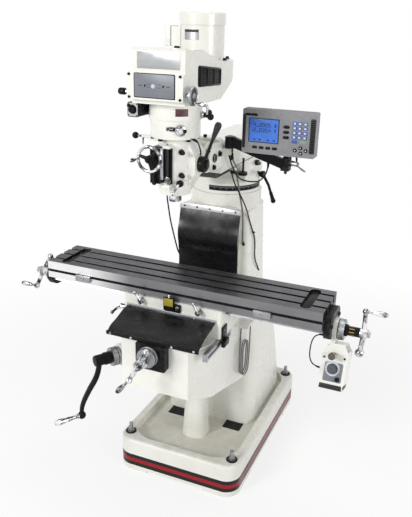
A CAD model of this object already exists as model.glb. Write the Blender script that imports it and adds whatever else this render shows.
import math
import bmesh
import bpy
from mathutils import Matrix, Vector


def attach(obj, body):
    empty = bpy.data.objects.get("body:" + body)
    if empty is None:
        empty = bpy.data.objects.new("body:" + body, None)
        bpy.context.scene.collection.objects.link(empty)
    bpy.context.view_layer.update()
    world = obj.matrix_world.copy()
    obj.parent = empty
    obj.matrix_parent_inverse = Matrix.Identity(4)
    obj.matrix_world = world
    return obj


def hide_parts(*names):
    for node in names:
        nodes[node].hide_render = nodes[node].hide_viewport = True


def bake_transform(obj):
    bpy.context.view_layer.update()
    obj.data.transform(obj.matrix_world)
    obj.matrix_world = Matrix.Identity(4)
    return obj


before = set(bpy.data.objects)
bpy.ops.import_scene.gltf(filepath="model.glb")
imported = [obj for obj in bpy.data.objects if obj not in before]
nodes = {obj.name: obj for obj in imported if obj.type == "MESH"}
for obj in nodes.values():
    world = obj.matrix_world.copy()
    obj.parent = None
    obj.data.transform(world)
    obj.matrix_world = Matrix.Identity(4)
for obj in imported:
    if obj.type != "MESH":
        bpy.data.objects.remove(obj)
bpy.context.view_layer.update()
scene = bpy.context.scene
scene.view_settings.view_transform = "Standard"
print("frame loaded:", len(nodes), "nodes")

# Camera at the photograph's angle, part frame in metres
cameraSetup = {"place": (1.0817, -2.7261, 2.0596), "yaw": 22.83, "pitch": 20.62, "roll": 1.35,
               "lens": 56.95, "sensor": 36}


def placeCamera(setup):
    yaw, pitch, roll = (math.radians(setup[k]) for k in ("yaw", "pitch", "roll"))
    level = math.cos(pitch)
    ahead = Vector((-math.sin(yaw) * level, math.cos(yaw) * level, -math.sin(pitch)))
    right = Vector((math.cos(yaw), math.sin(yaw), 0))
    up = right.cross(ahead)
    rightTurned = right * math.cos(roll) + up * math.sin(roll)
    upTurned = up * math.cos(roll) - right * math.sin(roll)
    lens = bpy.data.cameras.new("photoCamera")
    lens.sensor_fit = "HORIZONTAL"
    lens.sensor_width = setup["sensor"]
    lens.lens = setup["lens"]
    camera = bpy.data.objects.new("photoCamera", lens)
    turn = Matrix((rightTurned, upTurned, -ahead)).transposed().to_4x4()
    camera.matrix_world = Matrix.Translation(setup["place"]) @ turn
    scene.collection.objects.link(camera)
    scene.camera = camera


placeCamera(cameraSetup)


# Node helpers: each adds a node and gives back what it puts out
def mathNode(tree, operation, first, second=None):
    node = tree.nodes.new("ShaderNodeMath")
    node.operation = operation
    for slot, value in zip(node.inputs, (first, second)):
        if value is None:
            continue
        if isinstance(value, (int, float)):
            slot.default_value = value
        else:
            tree.links.new(value, slot)
    return node.outputs[0]


def allOf(tree, mask, *others):
    for other in others:
        mask = mathNode(tree, "MULTIPLY", mask, other)
    return mask


def between(tree, value, low, high):
    above = mathNode(tree, "GREATER_THAN", value, low)
    return allOf(tree, above, mathNode(tree, "LESS_THAN", value, high))


def rangeNode(tree, value, low, high, toLow=0.0, toHigh=1.0):
    node = tree.nodes.new("ShaderNodeMapRange")
    tree.links.new(value, node.inputs["Value"])
    node.inputs["From Min"].default_value = low
    node.inputs["From Max"].default_value = high
    node.inputs["To Min"].default_value = toLow
    node.inputs["To Max"].default_value = toHigh
    return node.outputs[0]


def noiseNode(tree, coords, scale, detail=3.0, rough=0.5):
    node = tree.nodes.new("ShaderNodeTexNoise")
    tree.links.new(coords, node.inputs["Vector"])
    if isinstance(scale, (int, float)):
        node.inputs["Scale"].default_value = scale
    else:
        tree.links.new(scale, node.inputs["Scale"])
    node.inputs["Detail"].default_value = detail
    node.inputs["Roughness"].default_value = rough
    return node.outputs["Fac"]


def objectCoords(tree):
    return tree.nodes.new("ShaderNodeTexCoord").outputs["Object"]


def splitNode(tree, vector):
    node = tree.nodes.new("ShaderNodeSeparateXYZ")
    tree.links.new(vector, node.inputs[0])
    return node.outputs


def faceWay(tree):
    return splitNode(tree, tree.nodes.new("ShaderNodeNewGeometry").outputs["Normal"])


def mixColour(tree, mask, first, second):
    node = tree.nodes.new("ShaderNodeMix")
    node.data_type = "RGBA"
    sockets = [s for s in node.inputs if s.type == "RGBA"]
    tree.links.new(mask, node.inputs[0])
    for socket, value in zip(sockets, (first, second)):
        if isinstance(value, tuple):
            socket.default_value = (*value, 1)
        else:
            tree.links.new(value, socket)
    return [s for s in node.outputs if s.type == "RGBA"][0]


def bumpNode(tree, height, strength, distance):
    node = tree.nodes.new("ShaderNodeBump")
    node.inputs["Strength"].default_value = strength
    node.inputs["Distance"].default_value = distance
    tree.links.new(height, node.inputs["Height"])
    return node.outputs["Normal"]


def mixShaders(tree, mask, first, second, out):
    mix = tree.nodes.new("ShaderNodeMixShader")
    for value, socket in zip((mask, first, second), mix.inputs):
        tree.links.new(value, socket)
    tree.links.new(mix.outputs[0], out)


def startMaterial(name):
    material = bpy.data.materials.new(name)
    material.use_nodes = True
    return material, material.node_tree, material.node_tree.nodes["Principled BSDF"]


# Studio: pale floor, white surround, three soft lamps
studio = {"worldLevel": 0.4, "floorHalf": 30, "floorTone": 0.93, "floorRough": 0.85, "floorShine": 0.1,
          "floorGlow": 0.72, "glowReach": (0.9, 2.6),
          "lamps": [("keyLamp", (-2.2, -4.9, 3.2), (0, -0.2, 0.9), 1.7, 178),
                    ("fillLamp", (4.4, -2.0, 2.2), (0, -0.2, 0.9), 2.2, 78),
                    ("topLamp", (0.3, 0.4, 4.8), (0, -0.1, 1.0), 2.4, 40)]}


# True for what the camera, gloss and glass see, not for what lights the object
def lightPathMask(tree):
    path = tree.nodes.new("ShaderNodeLightPath").outputs
    mask = mathNode(tree, "MAXIMUM", path["Is Camera Ray"], path["Is Glossy Ray"])
    return mathNode(tree, "MAXIMUM", mask, path["Is Transmission Ray"])


def buildWorld(level):
    world = bpy.data.worlds.new("studioWorld")
    scene.world = world
    world.use_nodes = True
    tree = world.node_tree
    tree.nodes.clear()
    sides = []
    for strength in (level, 1.0):
        side = tree.nodes.new("ShaderNodeBackground")
        side.inputs["Color"].default_value = (1, 1, 1, 1)
        side.inputs["Strength"].default_value = strength
        sides.append(side.outputs[0])
    out = tree.nodes.new("ShaderNodeOutputWorld")
    mixShaders(tree, lightPathMask(tree), *sides, out.inputs[0])


def placeLamp(name, place, aim, size, power):
    lamp = bpy.data.lights.new(name, "AREA")
    lamp.shape = "DISK"
    lamp.size = size
    lamp.energy = power
    holder = bpy.data.objects.new(name, lamp)
    holder.location = place
    holder.rotation_euler = (Vector(aim) - Vector(place)).to_track_quat("-Z", "Y").to_euler()
    scene.collection.objects.link(holder)


def buildFloor(setup):
    bm = bmesh.new()
    bmesh.ops.create_grid(bm, x_segments=4, y_segments=4, size=setup["floorHalf"])
    data = bpy.data.meshes.new("studioFloor")
    bm.to_mesh(data)
    bm.free()
    floor = bpy.data.objects.new("studioFloor", data)
    scene.collection.objects.link(floor)
    paper, tree, shader = startMaterial("floorPaper")
    tone = setup["floorTone"]
    shader.inputs["Base Color"].default_value = (tone, tone, tone, 1)
    shader.inputs["Roughness"].default_value = setup["floorRough"]
    shader.inputs["Specular IOR Level"].default_value = setup["floorShine"]
    reach = tree.nodes.new("ShaderNodeVectorMath")
    reach.operation = "LENGTH"
    tree.links.new(objectCoords(tree), reach.inputs[0])
    fade = rangeNode(tree, reach.outputs["Value"], *setup["glowReach"], setup["floorGlow"])
    glow = tree.nodes.new("ShaderNodeEmission")
    out = tree.nodes["Material Output"].inputs["Surface"]
    mixShaders(tree, allOf(tree, fade, lightPathMask(tree)), shader.outputs[0], glow.outputs[0], out)
    data.materials.append(paper)


buildWorld(studio["worldLevel"])
for lampValues in studio["lamps"]:
    placeLamp(*lampValues)
buildFloor(studio)
print("studio and camera ready")


# Shared effects as node groups
def startGroup(name, inputs, outputs):
    group = bpy.data.node_groups.new(name, "ShaderNodeTree")
    for label, value in inputs.items():
        kind = "NodeSocketVector" if isinstance(value, tuple) else "NodeSocketFloat"
        group.interface.new_socket(label, in_out="INPUT", socket_type=kind).default_value = value
    for label in outputs:
        group.interface.new_socket(label, in_out="OUTPUT", socket_type="NodeSocketFloat")
    given = group.nodes.new("NodeGroupInput").outputs
    return group, given, group.nodes.new("NodeGroupOutput").inputs


def buildCastSkin():
    group, given, out = startGroup("castSkin", {"Grain": 320.0, "Wave": 16.0}, ["Height", "Tone"])
    coords = objectCoords(group)
    fine = mathNode(group, "MULTIPLY", noiseNode(group, coords, given["Grain"], 2.0), 0.35)
    broad = mathNode(group, "MULTIPLY", noiseNode(group, coords, given["Wave"], 3.0), 0.65)
    group.links.new(mathNode(group, "ADD", fine, broad), out["Height"])
    group.links.new(rangeNode(group, noiseNode(group, coords, 4.2, 5.0, 0.6), 0.32, 0.72), out["Tone"])
    return group


def buildDustFall():
    group, given, out = startGroup("dustFall", {"Amount": 0.3}, ["Mask"])
    facing = rangeNode(group, faceWay(group)["Z"], 0.45, 0.95)
    patch = rangeNode(group, noiseNode(group, objectCoords(group), 22.0, 6.0, 0.65), 0.35, 0.75)
    group.links.new(allOf(group, facing, patch, given["Amount"]), out["Mask"])
    return group


def buildHandSmear():
    group, given, out = startGroup("handSmear", {"Size": 30.0}, ["Smear"])
    patch = noiseNode(group, objectCoords(group), given["Size"], 5.0, 0.62)
    group.links.new(rangeNode(group, patch, 0.34, 0.7), out["Smear"])
    return group


def buildGrindLines():
    group, given, out = startGroup("grindLines", {"Stretch": (6.0, 400.0, 400.0), "Patch": 9.0},
                                   ["Lines", "Broad"])
    turn = group.nodes.new("ShaderNodeMapping")
    group.links.new(objectCoords(group), turn.inputs["Vector"])
    group.links.new(given["Stretch"], turn.inputs["Scale"])
    lines = noiseNode(group, turn.outputs["Vector"], 1.0, 3.0, 0.6)
    broad = noiseNode(group, objectCoords(group), given["Patch"], 4.0)
    group.links.new(rangeNode(group, lines, 0.3, 0.7), out["Lines"])
    group.links.new(rangeNode(group, broad, 0.3, 0.7), out["Broad"])
    return group


def buildEdgeRub():
    group, given, out = startGroup("edgeRub", {"Amount": 0.5}, ["Mask"])
    shape = group.nodes.new("ShaderNodeNewGeometry")
    edge = rangeNode(group, shape.outputs["Pointiness"], 0.53, 0.62)
    patch = rangeNode(group, noiseNode(group, objectCoords(group), 60.0, 5.0, 0.7), 0.4, 0.65)
    group.links.new(allOf(group, edge, patch, given["Amount"]), out["Mask"])
    return group


castSkin = buildCastSkin()
dustFall = buildDustFall()
handSmear = buildHandSmear()
grindLines = buildGrindLines()
edgeRub = buildEdgeRub()


def useGroup(tree, group, **values):
    node = tree.nodes.new("ShaderNodeGroup")
    node.node_tree = group
    for label, value in values.items():
        node.inputs[label].default_value = value
    return node.outputs


# Colour, smeared roughness and bump onto the shader
def finishShader(tree, shader, paint, smearSize, roughSpan, height, bump, depth):
    smear = useGroup(tree, handSmear, Size=smearSize)["Smear"]
    tree.links.new(paint, shader.inputs["Base Color"])
    tree.links.new(rangeNode(tree, smear, 0, 1, *roughSpan), shader.inputs["Roughness"])
    tree.links.new(bumpNode(tree, height, bump, depth), shader.inputs["Normal"])


dustTone = {"onPaint": (0.5, 0.48, 0.42), "onBlack": (0.2, 0.19, 0.18)}


# Enamel over a cast surface, with settled dust on top faces
def enamel(name, colour, shade, rough=0.26, dust=0.12, coat=0.35, band=None, shine=0.5):
    material, tree, shader = startMaterial(name)
    skin = useGroup(tree, castSkin)
    paint = mixColour(tree, skin["Tone"], colour, shade)
    if band:
        paint = band(tree, paint)
    paint = mixColour(tree, useGroup(tree, dustFall, Amount=dust)["Mask"], paint, dustTone["onPaint"])
    finishShader(tree, shader, paint, 14.0, (rough - 0.05, rough + 0.1), skin["Height"], 0.05, 0.004)
    shader.inputs["Specular IOR Level"].default_value = shine
    shader.inputs["Coat Weight"].default_value = coat
    shader.inputs["Coat Roughness"].default_value = 0.12
    return material


baseBands = {"black": (0.027, 0.087), "red": (0.047, 0.067), "blackTone": (0.005, 0.005, 0.006),
             "redTone": (0.3, 0.004, 0.009), "trayTop": 0.14, "trayStain": 0.45,
             "trayTone": (0.5, 0.48, 0.39)}


# Lines round the base by height on its upright faces, and a stained tray floor
def baseLines(tree, paint):
    height = splitNode(tree, objectCoords(tree))["Z"]
    lift = faceWay(tree)["Z"]
    side = mathNode(tree, "LESS_THAN", mathNode(tree, "ABSOLUTE", lift), 0.35)
    floor = mathNode(tree, "GREATER_THAN", lift, 0.8)
    tray = mathNode(tree, "LESS_THAN", height, baseBands["trayTop"])
    paint = mixColour(tree, allOf(tree, floor, tray, baseBands["trayStain"]), paint, baseBands["trayTone"])
    for line in ("black", "red"):
        mask = allOf(tree, between(tree, height, *baseBands[line]), side)
        paint = mixColour(tree, mask, paint, baseBands[line + "Tone"])
    return paint


ramSlide = {"top": 1.439, "tone": (0.012, 0.012, 0.013)}


# Bare dark slide below the ram's painted sides
def slideBlack(tree, paint):
    height = splitNode(tree, objectCoords(tree))["Z"]
    return mixColour(tree, mathNode(tree, "LESS_THAN", height, ramSlide["top"]), paint, ramSlide["tone"])


tableWear = {"frontFade": (-0.4, -0.2, 1.0, 0.14), "frontTone": (0.8, 0.8, 0.81),
             "faceFade": (-0.5, 0.15, 0.72, 0.0), "faceTone": (0.03, 0.03, 0.037),
             "middle": -0.395, "slotHalf": 0.112, "slotZ": (0.975, 1.015), "slotShare": 0.9,
             "slotTone": (0.008, 0.008, 0.009)}


# The table: front bright at its left end, face worn bright towards the right, slots dark
def tableShade(tree, surface):
    place, way = splitNode(tree, objectCoords(tree)), faceWay(tree)
    front = mathNode(tree, "LESS_THAN", way["Y"], -0.7)
    fade = rangeNode(tree, place["X"], *tableWear["frontFade"])
    surface = mixColour(tree, allOf(tree, front, fade), surface, tableWear["frontTone"])
    face = mathNode(tree, "GREATER_THAN", way["Z"], 0.7)
    stain = rangeNode(tree, place["X"], *tableWear["faceFade"])
    surface = mixColour(tree, allOf(tree, face, stain), surface, tableWear["faceTone"])
    across = mathNode(tree, "ABSOLUTE", mathNode(tree, "SUBTRACT", place["Y"], tableWear["middle"]))
    slots = allOf(tree, mathNode(tree, "LESS_THAN", across, tableWear["slotHalf"]),
                  between(tree, place["Z"], *tableWear["slotZ"]), tableWear["slotShare"])
    return mixColour(tree, slots, surface, tableWear["slotTone"])


# Bare metal with machining lines along one way
def metal(name, colour, deep, rough, stretch, bump=0.05, spread=0.12, metallic=1.0, tint=None, patch=9.0,
          sharp=0.5):
    material, tree, shader = startMaterial(name)
    grind = useGroup(tree, grindLines, Patch=patch, Stretch=stretch)
    tone = mathNode(tree, "ADD", mathNode(tree, "MULTIPLY", grind["Lines"], 0.5),
                    mathNode(tree, "MULTIPLY", grind["Broad"], 0.5))
    surface = mixColour(tree, rangeNode(tree, tone, 0.5 - sharp, 0.5 + sharp), colour, deep)
    if tint:
        surface = tint(tree, surface)
    finishShader(tree, shader, surface, 26.0, (rough, rough + spread), grind["Lines"], bump, 0.001)
    shader.inputs["Metallic"].default_value = metallic
    return material


# Moulded plastic or satin paint with rubbed edges
def moulded(name, colour, rub, rough=0.4, grain=900.0, bump=0.08, rubbed=0.2, dust=0.15, shine=0.5):
    material, tree, shader = startMaterial(name)
    skin = useGroup(tree, castSkin, Grain=grain, Wave=60.0)
    paint = mixColour(tree, skin["Tone"], colour, tuple(c * 0.82 for c in colour))
    paint = mixColour(tree, useGroup(tree, edgeRub, Amount=rubbed)["Mask"], paint, rub)
    paint = mixColour(tree, useGroup(tree, dustFall, Amount=dust)["Mask"], paint, dustTone["onBlack"])
    finishShader(tree, shader, paint, 34.0, (rough - 0.08, rough + 0.12), skin["Height"], bump, 0.001)
    shader.inputs["Specular IOR Level"].default_value = shine
    return material


whiteTones = ((0.8, 0.797, 0.745), (0.755, 0.747, 0.685))
whitePaint = enamel("whitePaint", *whiteTones)
ramPaint = enamel("ramPaint", *whiteTones, band=slideBlack)
basePaint = enamel("basePaint", (0.79, 0.787, 0.737), (0.735, 0.727, 0.662), rough=0.28, dust=0.6, coat=0.0,
                   band=baseLines, shine=0.28)
tableIron = metal("tableIron", (0.17, 0.17, 0.18), (0.075, 0.075, 0.082), 0.3, (5.0, 420.0, 420.0),
                  spread=0.16, metallic=0.85, tint=tableShade)
darkIron = metal("darkIron", (0.036, 0.036, 0.039), (0.016, 0.016, 0.018), 0.42, (60.0, 60.0, 60.0),
                 metallic=0.6)
brightSteel = metal("brightSteel", (0.5, 0.5, 0.51), (0.3, 0.3, 0.31), 0.22, (300.0, 300.0, 8.0))
satinAlloy = metal("satinAlloy", (0.42, 0.425, 0.44), (0.27, 0.275, 0.29), 0.34, (500.0, 40.0, 40.0))
chrome = metal("chrome", (0.86, 0.866, 0.885), (0.035, 0.037, 0.043), 0.05, (34.0, 34.0, 34.0), bump=0.01,
               spread=0.08, patch=46.0, sharp=0.22)
bronze = metal("bronze", (0.5, 0.33, 0.13), (0.36, 0.22, 0.08), 0.3, (300.0, 300.0, 300.0))
panelGrey = metal("panelGrey", (0.2, 0.213, 0.235), (0.15, 0.16, 0.18), 0.38, (5.0, 400.0, 400.0),
                  metallic=0.3)
silverPlate = metal("silverPlate", (0.52, 0.53, 0.54), (0.36, 0.37, 0.38), 0.28, (6.0, 600.0, 600.0))
blackPaint = moulded("blackPaint", (0.006, 0.006, 0.007), (0.06, 0.06, 0.06), rough=0.34, rubbed=0.4,
                     dust=0.03, shine=0.11)
blackPlastic = moulded("blackPlastic", (0.006, 0.006, 0.007), (0.03, 0.03, 0.03), rough=0.28, dust=0.02,
                       shine=0.13)
paleGrey = moulded("paleGrey", (0.5, 0.5, 0.49), (0.6, 0.6, 0.6))
darkGreyPlastic = moulded("darkGreyPlastic", (0.03, 0.03, 0.033), (0.1, 0.1, 0.1), rough=0.38, rubbed=0.3,
                          dust=0.06, shine=0.2)
oliveYellow = moulded("oliveYellow", (0.36, 0.3, 0.02), (0.4, 0.35, 0.06))
slateKnob = moulded("slateKnob", (0.085, 0.085, 0.09), (0.16, 0.16, 0.16), rough=0.42, shine=0.3)
yellowPlastic = moulded("yellowPlastic", (0.7, 0.43, 0.02), (0.75, 0.5, 0.08))
rubberSheet = moulded("rubberSheet", (0.006, 0.006, 0.007), (0.03, 0.03, 0.032), rough=0.28, grain=600.0,
                      bump=0.1, rubbed=0.3, dust=0.05, shine=0.24)
blackCord = moulded("blackCord", (0.009, 0.009, 0.01), (0.03, 0.03, 0.03), rough=0.42, rubbed=0.1,
                    dust=0.05, shine=0.14)
greyCord = moulded("greyCord", (0.17, 0.17, 0.165), (0.3, 0.3, 0.29), rough=0.34, rubbed=0.3)
displayCase = moulded("displayCase", (0.215, 0.215, 0.228), (0.42, 0.42, 0.42))
screenBlue = moulded("screenBlue", (0.05, 0.19, 0.72), (0.05, 0.15, 0.45), rough=0.22, rubbed=0.0,
                     dust=0.03)
digitDark = moulded("digitDark", (0.004, 0.008, 0.05), (0.02, 0.03, 0.08), rubbed=0.0, dust=0.0, shine=0.1)
keyWhite = moulded("keyWhite", (0.62, 0.66, 0.74), (0.7, 0.7, 0.7), rubbed=0.1)
keyBlue = moulded("keyBlue", (0.035, 0.1, 0.36), (0.1, 0.2, 0.5), rubbed=0.1)
keyGreen = moulded("keyGreen", (0.22, 0.3, 0.24), (0.3, 0.4, 0.3), rubbed=0.1)
maroonPlate = moulded("maroonPlate", (0.06, 0.01, 0.012), (0.2, 0.1, 0.1), rough=0.35, rubbed=0.3)
print("materials ready")


# The ways that shapes point
toRight = (1, 0, 0)
toLeft = (-1, 0, 0)
toFront = (0, -1, 0)
toRear = (0, 1, 0)
toTop = (0, 0, 1)
toFloor = (0, 0, -1)


# Mesh tools: each gives one closed shape in its own bmesh
def alongFrame(place, way, side=None):
    ahead = Vector(way).normalized()
    across = Vector(side or (toTop if abs(ahead.z) < 0.9 else toRight))
    across = (across - ahead * across.dot(ahead)).normalized()
    turn = Matrix((across, ahead.cross(across), ahead)).transposed().to_4x4()
    return Matrix.Translation(Vector(place)) @ turn


def moveShape(bm, matrix):
    bmesh.ops.transform(bm, matrix=matrix, verts=bm.verts)
    return bm


def slab(low, high, edge=0.0, steps=2):
    bm = bmesh.new()
    bmesh.ops.create_cube(bm, size=1.0)
    low, high = Vector(low), Vector(high)
    bmesh.ops.scale(bm, vec=high - low, verts=bm.verts)
    bmesh.ops.translate(bm, vec=(low + high) / 2, verts=bm.verts)
    if edge:
        bmesh.ops.bevel(bm, geom=bm.edges, offset=edge, segments=steps, profile=0.5, affect="EDGES",
                        material=-1)
    return bm


def turned(profile, place, way, steps):
    bm = bmesh.new()
    row = [bm.verts.new((r, 0, h)) for r, h in profile]
    edges = [bm.edges.new(pair) for pair in zip(row, row[1:])]
    bmesh.ops.spin(bm, geom=row + edges, cent=(0, 0, 0), axis=toTop, angle=2 * math.pi, steps=steps,
                   use_merge=True)
    bmesh.ops.remove_doubles(bm, verts=bm.verts, dist=1e-6)
    bmesh.ops.recalc_face_normals(bm, faces=bm.faces)
    return moveShape(bm, alongFrame(place, way))


def ring(place, way, radius, thick, steps=40, tube=14):
    bm = bmesh.new()
    turn = Matrix.Translation((radius, 0, 0)) @ Matrix.Rotation(math.pi / 2, 4, "X")
    bmesh.ops.create_circle(bm, segments=tube, radius=thick, matrix=turn)
    bmesh.ops.spin(bm, geom=list(bm.verts) + list(bm.edges), cent=(0, 0, 0), axis=toTop, angle=2 * math.pi,
                   steps=steps, use_merge=True)
    bmesh.ops.recalc_face_normals(bm, faces=bm.faces)
    return moveShape(bm, alongFrame(place, way))


def ball(place, radius, rings=12):
    turns = [math.pi * i / rings for i in range(1, rings)]
    rows = [(radius * math.sin(a), -radius * math.cos(a)) for a in turns]
    return turned([(0, -radius), *rows, (0, radius)], place, toTop, 2 * rings)


# Slabs set evenly round an axis; each fifth may start lower
def slabsAround(count, place, way, low, high, edge=0.0, steps=2, fifth=None):
    shapes = []
    for k in range(count):
        start = low if fifth is None or k % 5 else (low[0], low[1], fifth)
        turn = alongFrame(place, way) @ Matrix.Rotation(2 * math.pi * k / count, 4, "Z")
        shapes.append(moveShape(slab(start, high, edge, steps), turn))
    return shapes


# A bar that follows points, extruded ring by ring
def limb(points, radii, steps=16, oval=1.0, side=None):
    bm = bmesh.new()
    pts = [Vector(p) for p in points]
    if side is None:
        spread = (pts[-1] - pts[0]).normalized()
        side = toTop if abs(spread.z) < 0.8 else toRight
    ways = []
    for i in range(len(pts)):
        ways.append((pts[min(i + 1, len(pts) - 1)] - pts[max(i - 1, 0)]).normalized())
    frames = [alongFrame(p, w, side) for p, w in zip(pts, ways)]
    shape = Matrix.Diagonal((radii[0] * oval, radii[0], 1, 1))
    bmesh.ops.create_circle(bm, segments=steps, radius=1.0, cap_ends=True, matrix=frames[0] @ shape)
    loop = list(bm.edges)
    for i in range(1, len(pts)):
        grown = bmesh.ops.extrude_edge_only(bm, edges=loop)["geom"]
        verts = [g for g in grown if isinstance(g, bmesh.types.BMVert)]
        loop = [g for g in grown if isinstance(g, bmesh.types.BMEdge) and all(v in verts for v in g.verts)]
        nextShape = Matrix.Diagonal((radii[i] * oval, radii[i], 1, 1))
        step = frames[i] @ nextShape @ shape.inverted() @ frames[i - 1].inverted()
        bmesh.ops.transform(bm, matrix=step, verts=verts)
        shape = nextShape
    bmesh.ops.holes_fill(bm, edges=loop, sides=steps + 2)
    bmesh.ops.recalc_face_normals(bm, faces=bm.faces)
    return bm


# Points on a smooth line through the given ones
def smoothPath(points, count=6):
    pts = [Vector(p) for p in points]
    pts = [pts[0] * 2 - pts[1]] + pts + [pts[-1] * 2 - pts[-2]]
    out = []
    for a, b, c, d in zip(pts, pts[1:], pts[2:], pts[3:]):
        for k in range(count):
            t = k / count
            bend = (2 * a - 5 * b + 4 * c - d) * t ** 2 + (3 * b - a - 3 * c + d) * t ** 3
            out.append((2 * b + (c - a) * t + bend) / 2)
    return out + [pts[-2]]


def hexHead(place, way, width, height):
    bm = bmesh.new()
    bmesh.ops.create_cone(bm, segments=6, radius1=width / 2, radius2=width / 2, depth=height, cap_ends=True,
                          matrix=Matrix.Translation((0, 0, height / 2)))
    bmesh.ops.bevel(bm, geom=bm.edges, offset=min(width, height) * 0.08, segments=2, profile=0.5,
                    affect="EDGES", material=-1)
    return moveShape(bm, alongFrame(place, way))


# A round screw head with its socket
def capScrew(place, way, radius, height):
    c = radius * 0.14
    rows = [(0, -0.002), (radius, -0.002), (radius, height - c), (radius - c, height),
            (radius * 0.55, height), (radius * 0.5, height * 0.35), (0, height * 0.3)]
    return turned(rows, place, way, 18)


# The usual machine handle: collar, neck, belly and round end
def machineHandle(place, way, length, radius):
    rows = [(0, 0), (0.66, 0), (0.68, 0.04), (0.66, 0.08), (0.5, 0.11), (0.48, 0.16), (0.58, 0.28),
            (0.75, 0.42), (0.92, 0.57), (1.0, 0.7), (0.97, 0.82), (0.84, 0.91), (0.6, 0.97), (0.3, 0.994),
            (0, 1.0)]
    return turned([(r * radius, h * length) for r, h in rows], place, way, 28)


# A thin plate with rounded corners, centred on a place
def plate(place, way, side, width, height, thick, corner, steps=5):
    bm = bmesh.new()
    bmesh.ops.create_grid(bm, x_segments=1, y_segments=1, size=0.5)
    bmesh.ops.scale(bm, vec=(width, height, 1), verts=bm.verts)
    bmesh.ops.bevel(bm, geom=bm.verts, offset=corner, segments=steps, profile=0.5, affect="VERTICES",
                    material=-1)
    grown = bmesh.ops.extrude_face_region(bm, geom=list(bm.faces))["geom"]
    top = [g for g in grown if isinstance(g, bmesh.types.BMVert)]
    bmesh.ops.translate(bm, vec=(0, 0, thick), verts=top)
    bmesh.ops.recalc_face_normals(bm, faces=bm.faces)
    rim = [e for e in bm.edges if all(v in top for v in e.verts)]
    bmesh.ops.bevel(bm, geom=rim, offset=thick * 0.3, segments=2, profile=0.5, affect="EDGES", material=-1)
    return moveShape(bm, alongFrame(place, way, side))


# A strip bent round an upright axis
def bentStrip(centre, radius, low, high, start, sweep, thick, steps=32):
    bm = bmesh.new()
    a = math.radians(start)
    corners = [(radius, low), (radius + thick, low), (radius + thick, high), (radius, high)]
    row = [bm.verts.new((r * math.cos(a), r * math.sin(a), z)) for r, z in corners]
    face = bm.faces.new(row)
    bmesh.ops.spin(bm, geom=list(face.verts) + list(face.edges) + [face], cent=(0, 0, 0), axis=toTop,
                   angle=math.radians(sweep), steps=steps)
    bmesh.ops.recalc_face_normals(bm, faces=bm.faces)
    bmesh.ops.translate(bm, vec=(centre[0], centre[1], 0), verts=bm.verts)
    return bm


# Joins shapes into one piece that rides on a body
def makePiece(name, parts, body, replaced=(), angle=38):
    whole = bmesh.new()
    finishes = []
    for shape, finish in parts:
        if finish not in finishes:
            finishes.append(finish)
        for face in shape.faces:
            face.material_index = finishes.index(finish)
            face.smooth = True
        step = bpy.data.meshes.new("step")
        shape.to_mesh(step)
        shape.free()
        whole.from_mesh(step)
        bpy.data.meshes.remove(step)
    data = bpy.data.meshes.new(name)
    whole.to_mesh(data)
    whole.free()
    for finish in finishes:
        data.materials.append(finish)
    data.set_sharp_from_angle(angle=math.radians(angle))
    piece = bpy.data.objects.new(name, data)
    scene.collection.objects.link(piece)
    if body:
        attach(piece, body)
    if replaced:
        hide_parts(*replaced)
    return piece


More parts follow.
